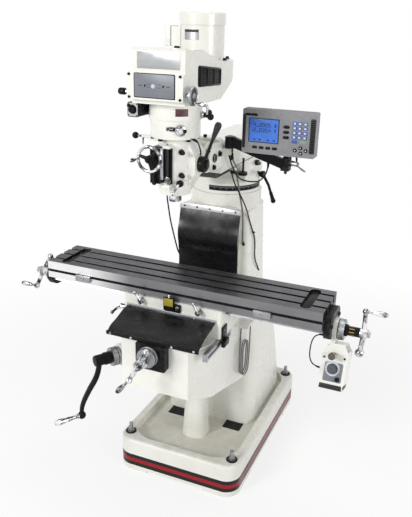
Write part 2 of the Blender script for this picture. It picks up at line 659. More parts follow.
# Cords: routes are the CAD routes in millimetres, the spans of a bent cord are in metres
cordSetup = {
    "headCord": {
        "diameter": 7, "length": 557, "finish": blackCord, "slot": "black_rubber", "lay": "hanging",
        "bodies": ("turret", "base"), "span": ((-0.172, 0.02, 1.404), (-0.21, -0.06, 1.05)),
        "replaces": ["head_cord"], "bushes": [("near", "turret"), ("far", "base")],
        "route": [(-135.4, 20, 1404), (-172, 20, 1404), (-210, 2, 1386), (-238, -22, 1348),
                  (-250, -46, 1298), (-249, -58, 1248), (-238, -62, 1198), (-228, -64, 1140),
                  (-214, -62, 1082), (-200, -60, 1026), (-190, -52, 976), (-172, -44, 944)]},
    "scaleCable": {
        "diameter": 8, "length": 354, "finish": greyCord, "slot": "grey_cable", "lay": "hanging",
        "bodies": ("turret", "base"), "span": ((0.134, -0.14, 1.385), (0.156, -0.116, 1.2)),
        "replaces": ["column_cables"], "bushes": [("far", "base")],
        "route": [(124, -138, 1418), (134, -140, 1385), (139, -135, 1340), (146, -128, 1297),
                  (154, -120, 1250), (156, -116, 1200), (156.5, -113, 1150), (156, -110, 1110),
                  (151, -80, 1080)]},
    "turretCord": {
        "diameter": 6, "length": 601, "finish": blackCord, "slot": "black_rubber", "lay": "hanging",
        "bodies": ("turret", "base"), "span": ((0.118, -0.146, 1.378), (0.172, -0.07, 1.19)),
        "replaces": [], "bushes": [("far", "base")],
        "route": [(102, -138, 1418), (118, -146, 1378), (142, -142, 1335), (158, -122, 1290),
                  (168, -96, 1240), (172, -70, 1190), (172.5, -35, 1145), (173.5, 2, 1100),
                  (176, 12, 1055), (178, 4, 1010), (180, 16, 970), (182, 50, 932), (174, 84, 902)]},
    "displayCord": {
        "diameter": 6, "length": 327, "finish": blackCord, "slot": "black_rubber", "lay": "hanging",
        "bodies": ("display_arm", "ram"), "span": ((0.282, -0.194, 1.465), (0.131, -0.177, 1.432)),
        "replaces": ["display_cord"], "bushes": [("near", "display_arm"), ("far", "ram")],
        "route": [(283, -193, 1489.9), (282, -194, 1465), (272, -194, 1436), (248, -188, 1408),
                  (215, -178, 1399), (178, -170, 1397), (148, -167, 1404), (131, -177, 1432),
                  (124, -198, 1468), (121, -216, 1496), (121, -222, 1519.5)]},
    "displayLead": {
        "diameter": 5, "length": 218, "finish": greyCord, "slot": "black_rubber", "lay": "hanging",
        "bodies": ("display_arm", "display"), "span": ((0.396, -0.17, 1.486), (0.428, -0.286, 1.517)),
        "replaces": ["display_leads"], "bushes": [("near", "display_arm"), ("far", "display")],
        "route": [(368.3, -170, 1486), (396, -170, 1486), (426, -186, 1477), (446, -212, 1474),
                  (450, -244, 1482), (441, -272, 1496), (428, -286, 1517), (425, -287, 1548.6)]},
    "displayLeadShort": {
        "diameter": 5, "length": 176, "finish": greyCord, "slot": "black_rubber", "lay": "hanging",
        "bodies": ("display_arm", "display"), "span": ((0.396, -0.17, 1.5), (0.401, -0.27, 1.51)),
        "replaces": [], "bushes": [("near", "display_arm"), ("far", "display")],
        "route": [(368.3, -166, 1500), (396, -170, 1500), (414, -190, 1500), (411, -222, 1500),
                  (404, -250, 1502), (401, -270, 1510), (400, -281, 1529), (400, -282, 1548.5)]},
    "armCable": {
        "diameter": 8, "length": 149, "finish": greyCord, "slot": "grey_cable", "lay": "hanging",
        "bodies": ("ram", "turret"), "span": ((0.143, -0.235, 1.494), (0.128, -0.145, 1.426)),
        "replaces": ["arm_cable"], "bushes": [("near", "ram")],
        "route": [(137, -236, 1519.5), (143, -235, 1494), (152, -221, 1468), (153, -193, 1449),
                  (143, -165, 1435), (128, -145, 1426)]},
    "feedCord": {
        "diameter": 5, "length": 195, "finish": blackCord, "slot": "black_rubber", "lay": "hanging",
        "bodies": ("table",), "span": None, "replaces": ["feed_cord"],
        "bushes": [("near", "table"), ("far", "table")],
        "route": [(630.5, -440, 892), (609.9, -440, 892), (591.9, -443, 882), (582.9, -449, 860),
                  (580.9, -457, 830), (582.9, -464, 800), (590.9, -467, 780), (605.9, -468, 767),
                  (633.5, -468.5, 762.5)]},
    "cableHank": {
        "diameter": 6, "length": 1404, "finish": greyCord, "slot": "grey_cable", "lay": "coiled",
        "bodies": ("knee",), "span": None, "replaces": ["cable_hank"], "bushes": [],
        "route": []},
}
hankTurns = {"start": (210, -226, 741.8), "firstX": 210.5, "pitch": 1.2, "drop": 3, "turns": 3,
             "loop": [(-234, 664), (-237, 576), (-233, 494), (-165, 490), (-161, 576), (-164, 660)],
             "end": (-162, 741.6)}


# The hank's turns, each beside and a little below the one before
def hankRoute(setup):
    route = [setup["start"]]
    corners = len(setup["loop"])
    for i in range(corners * setup["turns"]):
        y, z = setup["loop"][i % corners]
        turn = i // corners
        x = setup["firstX"] + setup["pitch"] * i
        route.append((x, y + setup["pitch"] * turn, z - setup["drop"] * turn))
    return route + [(route[-1][0] + 1, *setup["end"])]


# A mesh tube on the route's NURBS line, and the line's own points
def cordTube(name, points, diameter, finish):
    curve = bpy.data.curves.new(name + "Line", "CURVE")
    curve.dimensions = "3D"
    spline = curve.splines.new("NURBS")
    spline.points.add(len(points) - 1)
    for point, place in zip(spline.points, points):
        point.co = (*place, 1)
    spline.order_u = 3
    spline.use_endpoint_u = True
    curve.resolution_u = 12
    curve.use_fill_caps = True
    holder = bpy.data.objects.new(name + "Line", curve)
    scene.collection.objects.link(holder)

    def curveMesh():
        bpy.context.view_layer.update()
        return bpy.data.meshes.new_from_object(holder.evaluated_get(bpy.context.evaluated_depsgraph_get()))

    path = [tuple(v.co) for v in curveMesh().vertices]
    curve.bevel_depth = diameter / 2
    curve.bevel_resolution = 5
    data = curveMesh()
    data.name = name
    data.materials.clear()
    data.materials.append(finish)
    for face in data.polygons:
        face.use_smooth = True
    piece = bpy.data.objects.new(name, data)
    scene.collection.objects.link(piece)
    bpy.data.objects.remove(holder)
    return piece, path


# A tapered bush where a cord leaves or enters a body
def gland(name, place, way, radius, length, body):
    taper = [(2.0, 0.16), (1.62, 0.2), (1.54, 0.5), (1.28, 0.94), (1.08, 1), (0, 1)]
    rows = [(0, -0.002), (radius * 2.0, -0.002)] + [(radius * r, length * h) for r, h in taper]
    return makePiece(name, [(turned(rows, place, way, 20), blackPlastic)], body)


def layCord(name, setup):
    route = [tuple(v / 1000 for v in p) for p in setup["route"]]
    diameter = setup["diameter"] / 1000
    piece, path = cordTube(name, route, diameter, setup["finish"])
    if setup["span"]:
        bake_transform(piece)
    else:
        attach(piece, *setup["bodies"])
    for side, body in setup["bushes"]:
        first, second = (Vector(p) for p in (route[:2] if side == "near" else route[:-3:-1]))
        bushName = name + side.capitalize() + "Bush"
        gland(bushName, first, second - first, diameter / 2, 0.022, body)
    if setup["replaces"]:
        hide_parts(*setup["replaces"])


cordSetup["cableHank"]["route"] = hankRoute(hankTurns)
for cordName, cordValues in cordSetup.items():
    layCord(cordName, cordValues)
print("cords ready")


# Sheets: the apron over the way and the cover over the knee

# The centre of the circle through three points
def arcThrough(a, b, c):
    ax, ay = a
    bx, by = b
    cx, cy = c
    d = 2 * (ax * (by - cy) + bx * (cy - ay) + cx * (ay - by))
    aa, bb, cc = ax * ax + ay * ay, bx * bx + by * by, cx * cx + cy * cy
    ux = (aa * (by - cy) + bb * (cy - ay) + cc * (ay - by)) / d
    uy = (aa * (cx - bx) + bb * (ax - cx) + cc * (bx - ax)) / d
    return (ux, uy)


def turnBetween(centre, a, b):
    first = math.atan2(a[1] - centre[1], a[0] - centre[0])
    last = math.atan2(b[1] - centre[1], b[0] - centre[0])
    return (last - first + math.pi) % (2 * math.pi) - math.pi


# The centre of the arc that leaves point a along the first arc's tangent and ends at b
def nextCentre(centre, a, b):
    n = Vector((a[0] - centre[0], a[1] - centre[1])).normalized()
    d = Vector((b[0] - a[0], b[1] - a[1]))
    k = d.length_squared / (2 * d.dot(n))
    return (a[0] + n.x * k, a[1] + n.y * k)


def hungSheet(top, middle, joint, foot, half, thick, steps, relief):
    bm = bmesh.new()
    columns = 28
    row = [bm.verts.new((-half + 2 * half * i / columns, top[0], top[1])) for i in range(columns + 1)]
    edges = [bm.edges.new(pair) for pair in zip(row, row[1:])]
    first = arcThrough(top, middle, joint)
    turn = turnBetween(first, top, joint)
    made = bmesh.ops.spin(bm, geom=row + edges, cent=(0, *first), axis=toRight, angle=turn, steps=steps[0])
    second = nextCentre(first, joint, foot)
    lowTurn = turnBetween(second, joint, foot)
    bmesh.ops.spin(bm, geom=made["geom_last"], cent=(0, *second), axis=toRight, angle=lowTurn,
                   steps=steps[1])
    bmesh.ops.remove_doubles(bm, verts=bm.verts, dist=1e-6)
    bmesh.ops.recalc_face_normals(bm, faces=bm.faces)
    bm.normal_update()
    radius = [math.dist(c, joint) for c in (first, second)]
    length = radius[0] * abs(turn) + radius[1] * abs(lowTurn)
    for v in bm.verts:
        v.co += Vector(relief(v.co.x, v.co.y, v.co.z))
    bmesh.ops.solidify(bm, geom=list(bm.faces), thickness=thick)
    bmesh.ops.recalc_face_normals(bm, faces=bm.faces)
    return bm, length


def apronRelief(x, y, z):
    free = max(0.0, min(1.0, (1.225 - z) / 0.06))
    swell = 0.004 * math.exp(-((z - 1.125) / 0.03) ** 2) - 0.003 * math.exp(-((z - 1.062) / 0.018) ** 2)
    crease = 0.0025 * math.exp(-((x - 0.012) / 0.012) ** 2) * math.exp(-((z - 1.1) / 0.05) ** 2)
    wave = 0.0015 * math.sin(x * 34 + z * 9) * math.sin(z * 21)
    edge = 0.003 * (abs(x) / 0.146) ** 6 * math.sin(z * 30)
    return (0, -free * (swell - crease + wave + edge), 0)


def coverRelief(x, y, z):
    free = max(0.0, min(1.0, (-0.535 - y) / 0.03)) * max(0.0, min(1.0, (y + 0.688) / 0.03))
    sag = -0.004 * (1 - (x / 0.2) ** 2)
    wave = 0.0018 * math.sin(x * 40) * math.sin(y * 60 + 1)
    return (0, 0, free * (sag + wave) + 0.0015 * math.sin(x * 31 + 2))


apronShape, apronLength = hungSheet((-0.1185, 1.243), (-0.143, 1.14), (-0.144, 1.04), (-0.139, 0.849),
                                    0.146, 0.0035, (26, 22), apronRelief)
apron = makePiece("splashApron", [(apronShape, rubberSheet)], None, ["splash_apron"], 60)
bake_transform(apron)

coverShape, coverLength = hungSheet((-0.5225, 0.889), (-0.6, 0.873), (-0.66, 0.857), (-0.692, 0.838),
                                    0.203, 0.003, (16, 10), coverRelief)
cover = makePiece("kneeCover", [(coverShape, rubberSheet)], None, ["front_cover"], 60)
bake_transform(cover)
print("sheets ready", round(apronLength, 4), round(coverLength, 4))


# Small fittings used on several pieces
def cordTie(name, place, way, radius, body):
    rows = [(radius, -0.003), (radius + 0.0016, -0.003), (radius + 0.0016, 0.003), (radius, 0.003),
            (radius, -0.003)]
    head = slab((-0.0025, radius, -0.0035), (0.0025, radius + 0.006, 0.0035), 0.0006)
    shapes = (turned(rows, place, way, 20), moveShape(head, alongFrame(place, way)))
    makePiece(name, [(shape, blackPlastic) for shape in shapes], body)


def arrowMark(place, way, side, size, thick):
    bm = bmesh.new()
    bmesh.ops.create_cone(bm, segments=3, radius1=size, radius2=size * 0.92, depth=thick, cap_ends=True,
                          matrix=Matrix.Translation((0, 0, thick / 2)))
    return moveShape(bm, alongFrame(place, way, side))


# The corners of an upright rectangle that faces the front
def fourCorners(centre, y, halfX, halfZ):
    return [(centre[0] + x * halfX, y, centre[1] + z * halfZ) for x in (-1, 1) for z in (-1, 1)]


# Hood front: bare plate, speed panel with its lamp, four box screws
hoodFront = {"plateY": -0.628, "plateAt": (0.002, 1.9035), "plateSize": (0.167, 0.059), "rivetInset": 0.006,
             "boxY": -0.656, "panelZ": 1.8185, "panelSize": (0.155, 0.079), "panelRim": 0.006,
             "lampAt": (-0.003, 1.818), "screwsAt": (0, 1.816), "screwHalf": (0.1, 0.039),
             "bars": [(0.054, 0.007, -0.001, 0.001), (0.022, 0.006, -0.006, -0.005),
                      (0.022, 0.006, 0.005, 0.006)]}


def dressHood(setup):
    y, inset = setup["plateY"], setup["rivetInset"]
    x, z = setup["plateAt"]
    wide, tall = setup["plateSize"]
    rivet = [(0, 0), (0.0022, 0), (0.0018, 0.001), (0, 0.0014)]
    parts = [(plate((x, y, z), toFront, toRight, wide, tall, 0.0016, 0.002), silverPlate)]
    for place in fourCorners(setup["plateAt"], y - 0.0012, wide / 2 - inset, tall / 2 - inset):
        parts.append((turned(rivet, place, toFront, 12), satinAlloy))
    makePiece("hoodPlate", parts, "head")

    y, z, rim = setup["boxY"], setup["panelZ"], setup["panelRim"]
    wide, tall = setup["panelSize"]
    lampX, lampZ = setup["lampAt"]
    lamp = [(0, 0), (0.0078, 0), (0.0078, 0.002), (0.0062, 0.003), (0.006, 0.0045), (0.0042, 0.0065),
            (0, 0.0072)]
    parts = [(plate((0, y, z), toFront, toRight, wide + rim, tall + rim, 0.0014, 0.003), blackPlastic),
             (plate((0, y - 0.0008, z), toFront, toRight, wide, tall, 0.0016, 0.002), panelGrey),
             (turned(lamp, (lampX, y - 0.002, lampZ), toFront, 20), keyWhite)]
    face = y - 0.0022
    for side in (-1, 1):
        arrow = arrowMark((side * 0.036, face, z), toFront, (0, 0, side), 0.0065, 0.0005)
        parts.append((arrow, blackPlastic))
        for x, half, low, high in setup["bars"]:
            bar = slab((side * x - half, face - 0.0005, z + low), (side * x + half, face, z + high))
            parts.append((bar, blackPlastic))
    makePiece("speedPanel", parts, "head")
    screws = [(capScrew(place, toFront, 0.0048, 0.004), blackPaint)
              for place in fourCorners(setup["screwsAt"], y, *setup["screwHalf"])]
    makePiece("boxScrews", screws, "head")


vents = {"place": (0.125, -0.4585, 1.8425), "size": (0.213, 0.092), "slats": 9, "slatPitch": 0.0085,
         "slatTilt": 55, "ribs": (-0.095, -0.032, 0.032, 0.095), "rails": (-0.0385, 0.0385),
         "frontY": -0.565, "frontZ": 1.8515, "slope": 0.0155, "frontShare": 0.81, "taper": 0.13}


def dressVent(name, side, setup):
    x, y, z = setup["place"]
    length, tall = setup["size"]
    place, way, along = (side * x, y, z), (side, 0, 0), (0, side, 0)
    base = alongFrame(place, way, along)
    tilt = Matrix.Rotation(math.radians(setup["slatTilt"]), 4, "X")
    shapes = [plate(place, way, along, length, tall, 0.0032, 0.013)]
    for i in range(setup["slats"]):
        rise = setup["slatPitch"] * (i - (setup["slats"] - 1) / 2)
        slat = slab((-0.094, -0.0006, -0.0028), (0.094, 0.0006, 0.0028), 0.0003, 1)
        shapes.append(moveShape(slat, base @ Matrix.Translation((0, rise, 0.0045)) @ tilt))
    for u in setup["ribs"]:
        rib = slab((u - 0.0016, -0.038, 0.002), (u + 0.0016, 0.038, 0.0066), 0.0006)
        shapes.append(moveShape(rib, base))
    for v in setup["rails"]:
        rail = slab((-0.096, v - 0.0016, 0.002), (0.096, v + 0.0016, 0.0066), 0.0006)
        shapes.append(moveShape(rail, base))
    for shape in shapes:  # follows the hood's slope and taper
        for vert in shape.verts:
            t = (vert.co.y - setup["frontY"]) / length
            share = setup["frontShare"] - setup["taper"] * t
            vert.co.z = setup["frontZ"] - setup["slope"] * t + (vert.co.z - z) * share
    makePiece(name, [(shape, blackPlastic) for shape in shapes], "head")


dressHood(hoodFront)
dressVent("ventRight", 1, vents)
dressVent("ventLeft", -1, vents)

# Speed wheel with its handle on the right, fluted knob on the left
speedWheel = {"place": (-0.632, 1.791), "rim": 0.034, "handle": 0.052}


def dressSpeedWheel(setup):
    y, z = setup["place"]
    r = setup["rim"]
    rows = [(0, 0), (0.0115, 0), (0.012, 0.003), (r - 0.008, 0.0035), (r - 0.002, 0.0055), (r, 0.0085),
            (r, 0.013), (r - 0.0015, 0.0165), (r - 0.0045, 0.0175), (r - 0.006, 0.016),
            (r - 0.0075, 0.0135), (0.012, 0.0128), (0.011, 0.0165), (0.009, 0.0175), (0, 0.018)]
    parts = [(turned(rows, (0.126, y, z), toRight, 48), satinAlloy)]
    face = [(0.0125, 0.0133), (r - 0.0082, 0.0138), (r - 0.0082, 0.0144), (0.0125, 0.0139),
            (0.0125, 0.0133)]
    parts.append((turned(face, (0.126, y, z), toRight, 48), darkGreyPlastic))
    parts.append((machineHandle((0.1395, y, z - 0.0255), toRight, setup["handle"], 0.0078), chrome))
    parts.append((limb([(0.19, y, z - 0.0245), (0.192, y, z - 0.04), (0.191, y, z - 0.058)],
                       [0.0042, 0.0046, 0.0038], 14), satinAlloy))
    knob = [(0, 0), (0.0105, 0), (0.0118, 0.002), (0.0118, 0.024), (0.0105, 0.0275), (0.006, 0.0288),
            (0, 0.029)]
    parts.append((turned(knob, (-0.1265, y, z), toLeft, 32), blackPlastic))
    ribs = slabsAround(16, (-0.1265, y, z), toLeft, (-0.001, 0.0108, 0.004), (0.001, 0.0124, 0.0225),
                       0.0004, 1)
    parts += [(rib, blackPlastic) for rib in ribs]
    parts.append((limb([(-0.128, y, z), (0.13, y, z)], [0.008, 0.008], 16), brightSteel))
    makePiece("speedWheel", parts, "speed_wheel", ["speed_wheel"])


dressSpeedWheel(speedWheel)

# Fine-feed hand wheel
feedWheel = {"place": (-0.041, -0.622, 1.551), "radius": 0.046, "spokes": (165, 285, 45)}


def dressFeedWheel(setup):
    x, y, z = setup["place"]
    r = setup["radius"]
    parts = [(ring((x, y, z), toFront, r, 0.0062, 56, 16), chrome)]
    hub = [(0, -0.068), (0.0078, -0.068), (0.008, -0.016), (0.0135, -0.014), (0.0148, -0.011),
           (0.0148, 0.008), (0.0125, 0.0115), (0.0085, 0.012), (0.008, 0.019), (0.006, 0.021), (0, 0.0215)]
    parts.append((turned(hub, (x, y, z), toFront, 32), blackPaint))
    for degrees in setup["spokes"]:
        a = math.radians(degrees)
        way = Vector((math.cos(a), 0, math.sin(a)))
        centre = Vector((x, y, z))
        parts.append((limb([centre + way * 0.008, centre + way * 0.02, centre + way * (r - 0.003)],
                           [0.0085, 0.0072, 0.0058], 14, 0.7, toRear), blackPaint))
    parts.append((machineHandle((x - r, y - 0.003, z), toFront, 0.054, 0.008), chrome))
    makePiece("feedWheel", parts, "feed_wheel", ["feed_wheel"])


dressFeedWheel(feedWheel)

# Range knob, gear shift, brake lever, quill lock and quill lever
rangeKnob = {"base": (0, -0.483, 1.656), "way": (0.588, -0.809, 0), "reach": 0.0955}


def dressRangeKnob(setup):
    way = Vector(setup["way"])
    side = Vector((0.809, 0.588, 0))
    face = Vector(setup["base"]) + way * setup["reach"]
    rows = [(0, -0.01), (0.006, -0.01), (0.006, 0.001), (0.0193, 0.001), (0.0205, 0.0025), (0.0205, 0.0085),
            (0.0185, 0.011), (0.0125, 0.012), (0.0115, 0.016), (0.009, 0.0185), (0, 0.0192)]
    parts = [(turned(rows, face, way, 40), chrome),
             (ball(face + way * 0.017 + side * 0.0135, 0.0078), blackPlastic),
             (ball(face + way * 0.0115 + Vector((0, 0, 0.0145)), 0.0034), blackPaint),
             (limb([face + way * 0.014 - side * 0.016, face + way * 0.0155 + side * 0.008],
                   [0.0038, 0.0046], 12), chrome)]
    makePiece("rangeKnob", parts, "hi_lo_lever", ["hi_lo_lever"])


headLevers = {"shiftBalls": [((0.1315, -0.4735, 1.7155), 0.012), ((0.1435, -0.486, 1.703), 0.0126)],
              "shiftHub": (0.102, -0.473, 1.706), "brakeHub": (-0.098, -0.4846, 1.604),
              "brakeBall": ((-0.186, -0.4614, 1.603), 0.0134), "lockHub": (0.05, -0.5412, 1.453),
              "lockBall": ((0.024, -0.556, 1.412), 0.008)}


def dressHeadLevers(setup):
    hub = [(0, 0), (0.0118, 0), (0.0125, 0.0015), (0.0125, 0.009), (0.0105, 0.011), (0, 0.011)]
    neck = [(0.113, -0.473, 1.706), (0.122, -0.475, 1.7068), (0.134, -0.479, 1.7085)]
    parts = [(limb([(0.084, -0.473, 1.706), (0.118, -0.473, 1.706)], [0.0058] * 2, 14), chrome),
             (turned(hub, setup["shiftHub"], toRight, 28), brightSteel),
             (limb(neck, [0.0078, 0.0105, 0.01], 16), blackPlastic)]
    parts += [(ball(*values), blackPlastic) for values in setup["shiftBalls"]]
    makePiece("gearShift", parts, "gear_shift", ["gear_shift"])

    hub = [(0, 0), (0.0078, 0), (0.0082, 0.001), (0.0082, 0.028), (0.0078, 0.029), (0, 0.029)]
    stem = [(-0.149, -0.4655, 1.602), (-0.1495, -0.4665, 1.588), (-0.15, -0.467, 1.571)]
    parts = [(limb([(-0.098, -0.49, 1.604), (-0.098, -0.45, 1.604)], [0.004] * 2, 12), brightSteel),
             (turned(hub, setup["brakeHub"], toRear, 20), brightSteel),
             (limb([(-0.1, -0.4698, 1.604), (-0.153, -0.4647, 1.6034)], [0.0074, 0.0066], 16), whitePaint),
             (limb([(-0.15, -0.465, 1.6034), (-0.177, -0.4623, 1.6031)], [0.0048, 0.0046], 14), chrome),
             (limb(stem, [0.0034] * 3, 12), chrome),
             (ball(*setup["brakeBall"]), blackPlastic)]
    makePiece("brakeLever", parts, "brake_lever", ["brake_lever"])

    hub = [(0, -0.012), (0.006, -0.012), (0.006, 0.0004), (0.0125, 0.0006), (0.0135, 0.0022),
           (0.0135, 0.011), (0.0115, 0.0142), (0.0062, 0.0147), (0.0055, 0.0165), (0, 0.0168)]
    lever = smoothPath([(0.05, -0.5515, 1.453), (0.044, -0.5565, 1.4425), (0.034, -0.5575, 1.4275),
                        (0.0245, -0.556, 1.4128)], 4)
    radii = [0.006 - 0.0018 * i / 12 for i in range(len(lever))]
    parts = [(turned(hub, setup["lockHub"], toFront, 32), blackPaint),
             (limb(lever, radii, 14), chrome),
             (ball(*setup["lockBall"]), chrome)]
    makePiece("quillLock", parts, "quill_lock", ["quill_lock"])


quillLever = {"hub": (0.093, -0.46, 1.517), "start": (0.11, -0.456, 1.53), "way": (0.2786, 0.2298, 0.9331)}


def dressQuillLever(setup):
    rows = [(0, -0.04), (0.01, -0.04), (0.01, 0.0002), (0.0295, 0.0004), (0.0305, 0.002), (0.0305, 0.0235),
            (0.028, 0.027), (0.019, 0.0278), (0.018, 0.033), (0.0155, 0.0342), (0, 0.0343)]
    parts = [(turned(rows, setup["hub"], toRight, 48), blackPaint)]
    start, way = Vector(setup["start"]), Vector(setup["way"])
    parts.append((limb([start, start + way * 0.03, start + way * 0.094], [0.0075, 0.0064, 0.0056], 16),
                  blackPaint))
    parts.append((turned([(0.0058, -0.004), (0.0088, -0.003), (0.0088, 0.003), (0.0058, 0.004),
                          (0.0058, -0.004)], start + way * 0.04, way, 18), blackPaint))
    grip = [(0, 0), (0.0072, 0), (0.0078, 0.003), (0.0086, 0.01), (0.0108, 0.027), (0.0131, 0.043),
            (0.0136, 0.051), (0.0126, 0.0585), (0.0092, 0.0645), (0.0045, 0.0668), (0, 0.0672)]
    parts.append((turned(grip, start + way * 0.0885, way, 32), darkGreyPlastic))
    makePiece("quillLever", parts, "quill_lever", ["quill_lever"])


dressRangeKnob(rangeKnob)
dressHeadLevers(headLevers)
dressQuillLever(quillLever)

# Head castings: feed box cover, depth scale, studs, bare plates, bolts, switch face, trip rod
headTrim = {"axis": (0, -0.483), "studs": [(0.0466, -0.5298, 1.57), (0.0471, -0.5292, 1.4812)],
            "studWay": (0.7, -0.714, 0), "flangeRadius": 0.086, "flangeZ": 1.6203,
            "boltAngles": (-104, -31, 31, 149, 211, 254),
            "coverScrews": ((-0.057, 1.578), (-0.025, 1.578), (-0.057, 1.456), (-0.025, 1.456)),
            "switchScrews": ((-0.1025, 1.7035), (-0.1355, 1.7035), (-0.1025, 1.743), (-0.1355, 1.743))}


def dressHead(setup):
    parts = [(slab((-0.0632, -0.5762, 1.4488), (-0.0188, -0.499, 1.5862), 0.004, 3), blackPaint)]
    for x, z in setup["coverScrews"]:
        parts.append((capScrew((x, -0.5762, z), toFront, 0.0034, 0.0026), blackPaint))
    parts.append((plate((-0.0632, -0.538, 1.52), toLeft, toFront, 0.06, 0.1, 0.002, 0.005), blackPaint))
    makePiece("feedBoxCover", parts, "head")

    sleeve = [(0.0049, 1.4775), (0.0057, 1.4775), (0.0057, 1.5855), (0.0049, 1.5855), (0.0049, 1.4775)]
    parts = [(slab((-0.0184, -0.5772, 1.4675), (-0.0066, -0.556, 1.5855), 0.001), silverPlate),
             (slab((-0.0064, -0.5545, 1.449), (0.0195, -0.5482, 1.5855), 0.0008), blackPaint),
             (turned(sleeve, (0.005, -0.564, 0), toTop, 20), darkIron)]
    makePiece("depthScale", parts, "head")

    way = Vector(setup["studWay"]).normalized()
    washer = [(0, -0.002), (0.0112, -0.002), (0.0112, 0.002), (0.0104, 0.0028), (0, 0.0028)]
    stud = [(0, 0), (0.0062, 0), (0.0062, 0.0102), (0.005, 0.0115), (0, 0.0118)]
    parts = []
    for place in map(Vector, setup["studs"]):
        parts += [(turned(washer, place, way, 24), blackPaint),
                  (hexHead(place + way * 0.0026, way, 0.0205, 0.013), blackPaint),
                  (turned(stud, place + way * 0.0152, way, 18), blackPaint)]
    makePiece("headStuds", parts, "head")

    axis = setup["axis"]
    parts = [(bentStrip(axis, 0.1009, 1.7068, 1.7335, -65, 27, 0.0013, 16), maroonPlate)]
    makePiece("ringPlate", parts, "head")
    parts = [(bentStrip(axis, 0.0948, 1.652, 1.6685, -86, 24, 0.0016, 12), chrome),
             (bentStrip(axis, 0.0955, 1.6562, 1.6642, -84.5, 21, 0.0013, 12), blackPaint),
             (bentStrip(axis, 0.0962, 1.6582, 1.6622, -79, 9, 0.001, 6), brightSteel)]
    makePiece("rangeSlot", parts, "head")

    parts = []
    for degrees in setup["boltAngles"]:
        a, r = math.radians(degrees), setup["flangeRadius"]
        place = (axis[0] + r * math.cos(a), axis[1] + r * math.sin(a), setup["flangeZ"])
        parts.append((hexHead(place, toFloor, 0.017, 0.0095), blackPaint))
    makePiece("flangeBolts", parts, "head")

    face = [(0, 0), (0.0165, 0), (0.0165, 0.0006), (0, 0.0008)]
    parts = [(plate((-0.119, -0.5978, 1.7232), toFront, toRight, 0.04, 0.048, 0.0026, 0.005), paleGrey),
             (turned(face, (-0.119, -0.6001, 1.724), toFront, 36), blackPlastic)]
    for x, z in setup["switchScrews"]:
        parts.append((capScrew((x, -0.6, z), toFront, 0.0024, 0.0016), darkIron))
    makePiece("switchFace", parts, "head")

    rod = smoothPath([(0.083, -0.527, 1.6225), (0.0905, -0.508, 1.6175), (0.0945, -0.489, 1.605),
                      (0.0975, -0.478, 1.588), (0.1, -0.472, 1.567), (0.0985, -0.472, 1.552)], 5)
    sleeve = [(0.0885, -0.513, 1.6192), (0.0938, -0.493, 1.6086)]
    parts = [(limb(rod, [0.0026] * len(rod), 12), blackPaint),
             (limb(sleeve, [0.0055, 0.0046], 14), blackPlastic)]
    makePiece("tripRod", parts, "head")


dressHead(headTrim)

# Motor: bare plate, terminal box lid, gland, deck bolts and cap seam
motorTrim = {"axis": (0, -0.245), "plateAngles": (-117.5, 41.6), "plateZ": (1.963, 2.0015), "deckZ": 1.8899,
             "deckBolts": ((0.109, -0.277), (0.078, -0.17)),
             "lidScrews": ((-0.294, 1.943), (-0.294, 2.004), (-0.238, 1.943), (-0.238, 2.004))}


def dressMotor(setup):
    axis = setup["axis"]
    start, sweep = setup["plateAngles"]
    low, high = setup["plateZ"]
    band = bentStrip(axis, 0.0876, high - 0.0105, high - 0.0012, start + 1, sweep - 2, 0.0006, 20)
    parts = [(bentStrip(axis, 0.0869, low, high, start, sweep, 0.001, 20), satinAlloy),
             (band, darkGreyPlastic)]
    makePiece("motorPlate", parts, "head")

    parts = [(slab((-0.1388, -0.3018, 1.9352), (-0.1124, -0.2302, 2.0118), 0.005, 3), whitePaint),
             (slab((-0.1126, -0.301, 1.936), (-0.11, -0.231, 2.011), 0.0008), blackPaint)]
    for y, z in setup["lidScrews"]:
        parts.append((capScrew((-0.1388, y, z), toLeft, 0.0034, 0.002), brightSteel))
    makePiece("terminalLid", parts, "head")
    rows = [(0, -0.003), (0.0105, -0.003), (0.0105, 0.005), (0.0125, 0.0055), (0.0125, 0.0125),
            (0.009, 0.0145), (0.0075, 0.021), (0, 0.021)]
    parts = [(turned(rows, (-0.1, -0.268, 1.9372), toFloor, 12), blackPlastic)]
    makePiece("terminalGland", parts, "head")

    washer = [(0, 0), (0.0098, 0), (0.0098, 0.0014), (0, 0.0016)]
    deck = setup["deckZ"]
    parts = []
    for side in (-1, 1):
        for x, y in setup["deckBolts"]:
            parts.append((turned(washer, (side * x, y, deck), toTop, 20), darkIron))
            parts.append((hexHead((side * x, y, deck + 0.0013), toTop, 0.0145, 0.008), blackPaint))
    makePiece("deckBolts", parts, "head")
    parts = [(bentStrip(axis, 0.0868, 2.0178, 2.0196, 0, 359.9, 0.0028, 64), darkIron)]
    makePiece("capSeam", parts, "head")


dressMotor(motorTrim)
print("head dressed")

# Ram, adapter and turret: caps, bolts, hook, oiler, scale, clip, grip, wiper
ramTrim = {"pinPlace": (-0.345, 1.52), "cheekX": 0.1048,
           "cheekBolts": ((-0.293, 1.528, 0.021), (-0.352, 1.4835, 0.019)),
           "turretAxis": (0, 0.073),
           "bandStart": -99, "bandSweep": 105.5, "bandZ": (1.315, 1.338), "bandMarks": 52}


